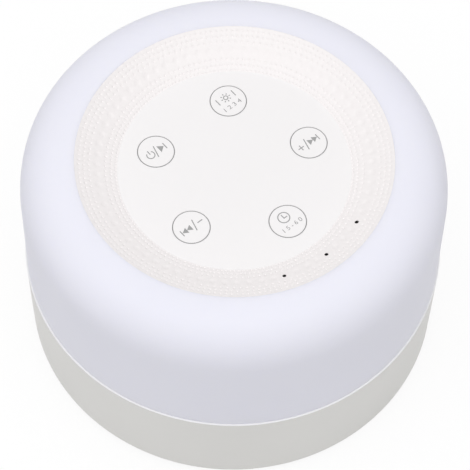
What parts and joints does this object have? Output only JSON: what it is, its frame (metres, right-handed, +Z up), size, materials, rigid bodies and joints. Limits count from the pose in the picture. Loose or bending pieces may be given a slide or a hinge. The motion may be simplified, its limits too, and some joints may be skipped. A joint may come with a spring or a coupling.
{
  "type": "white noise sound machine",
  "caption": "Round bedside sound machine with a crowned light shade, a dished top panel with press keys and pinholes, and a speaker base that stands on rubber feet.",
  "frame": {"origin": "centre of the feet's contact plane, on the machine's axis", "axes": "+Z up along the machine's axis; -Y towards the timer key and the pinholes; the charging socket faces +Y"},
  "size_m": [0.108, 0.108, 0.0685],
  "materials": {
    "shade_plastic": "frosted milk-white, satin",
    "panel_plastic": "moulded warm white, satin",
    "base_plastic": "moulded warm grey, satin",
    "core_plastic": "white moulded",
    "board_laminate": "green solder mask",
    "white_laminate": "white solder mask",
    "chip_plastic": "moulded black",
    "socket_plastic": "cream moulded",
    "lamp_plastic": "yellowish lens",
    "clear_plastic": "clear polished",
    "screw_steel": "zinc plated",
    "frame_steel": "pressed steel",
    "socket_steel": "nickel plated",
    "can_aluminium": "drawn",
    "ferrite": "sintered, dull",
    "coil_copper": "enamelled",
    "cone_paper": "pressed paper",
    "spider_cloth": "resin-dipped weave",
    "grille_mesh": "fine black weave",
    "foam": "closed-cell foam",
    "surround_rubber": "soft matt rubber",
    "foot_rubber": "grey matt rubber",
    "cell_wrap": "foil pouch",
    "tag_board": "brown laminate",
    "cable_film": "flexible film",
    "red_insulation": "insulated lead",
    "black_insulation": "insulated lead"
  },
  "bodies": {
    "housing": {"diffuser_shade": "shade_plastic", "top_panel": "panel_plastic", "key_switches": "socket_steel", "key_board": "board_laminate", "key_board_screws": "screw_steel", "key_board_socket": "socket_plastic", "indicator_lamps": "lamp_plastic", "indicator_shroud": "foam", "core_tube": "core_plastic", "panel_screws": "screw_steel", "core_screws": "screw_steel", "middle_plate": "core_plastic", "shade_screws": "screw_steel", "light_board": "white_laminate", "light_chips": "lamp_plastic", "light_screws": "screw_steel", "light_leads": "black_insulation", "battery": "cell_wrap", "battery_pad": "foam", "battery_leads": "red_insulation", "key_cable": "cable_film", "base_shell": "base_plastic", "bottom_cover": "base_plastic", "cover_screws": "screw_steel", "foot_pads": "foot_rubber", "main_board": "board_laminate", "board_screws": "screw_steel", "board_chips": "chip_plastic", "board_capacitors": "can_aluminium", "board_sockets": "socket_plastic", "charging_socket": "socket_steel", "socket_tongue": "chip_plastic", "charge_lamp": "lamp_plastic", "charge_light_guide": "clear_plastic", "speaker_frame": "frame_steel", "speaker_top_plate": "frame_steel", "speaker_magnet": "ferrite", "speaker_yoke": "frame_steel", "speaker_surround": "surround_rubber", "speaker_spider": "spider_cloth", "speaker_gasket": "foam", "grille_cloth": "grille_mesh", "speaker_terminals": "tag_board", "speaker_screws": "screw_steel", "speaker_leads": "black_insulation"},
    "power": {"power_key": "panel_plastic", "power_plunger": "chip_plastic"},
    "lamp": {"lamp_key": "panel_plastic", "lamp_plunger": "chip_plastic"},
    "next": {"next_key": "panel_plastic", "next_plunger": "chip_plastic"},
    "timer": {"timer_key": "panel_plastic", "timer_plunger": "chip_plastic"},
    "previous": {"previous_key": "panel_plastic", "previous_plunger": "chip_plastic"},
    "cone": {"speaker_cone": "cone_paper", "dust_cap": "cone_paper", "voice_coil": "coil_copper"}
  },
  "joints": [
    {"name": "power_press", "type": "slide", "parent": "housing", "child": "power", "axis": [0, 0, -1], "range_m": [0, 0.0003], "stiffness_N_per_m": 500, "springref_m": -0.0006},
    {"name": "lamp_press", "type": "slide", "parent": "housing", "child": "lamp", "axis": [0, 0, -1], "range_m": [0, 0.0003], "stiffness_N_per_m": 500, "springref_m": -0.0006},
    {"name": "next_press", "type": "slide", "parent": "housing", "child": "next", "axis": [0, 0, -1], "range_m": [0, 0.0003], "stiffness_N_per_m": 500, "springref_m": -0.0006},
    {"name": "timer_press", "type": "slide", "parent": "housing", "child": "timer", "axis": [0, 0, -1], "range_m": [0, 0.0003], "stiffness_N_per_m": 500, "springref_m": -0.0006},
    {"name": "previous_press", "type": "slide", "parent": "housing", "child": "previous", "axis": [0, 0, -1], "range_m": [0, 0.0003], "stiffness_N_per_m": 500, "springref_m": -0.0006},
    {"name": "cone_drive", "type": "slide", "parent": "housing", "child": "cone", "axis": [0, 0, 1], "range_m": [-0.0008, 0.0008], "stiffness_N_per_m": 900, "deforming": ["speaker_surround", "speaker_spider"]}
  ]
}
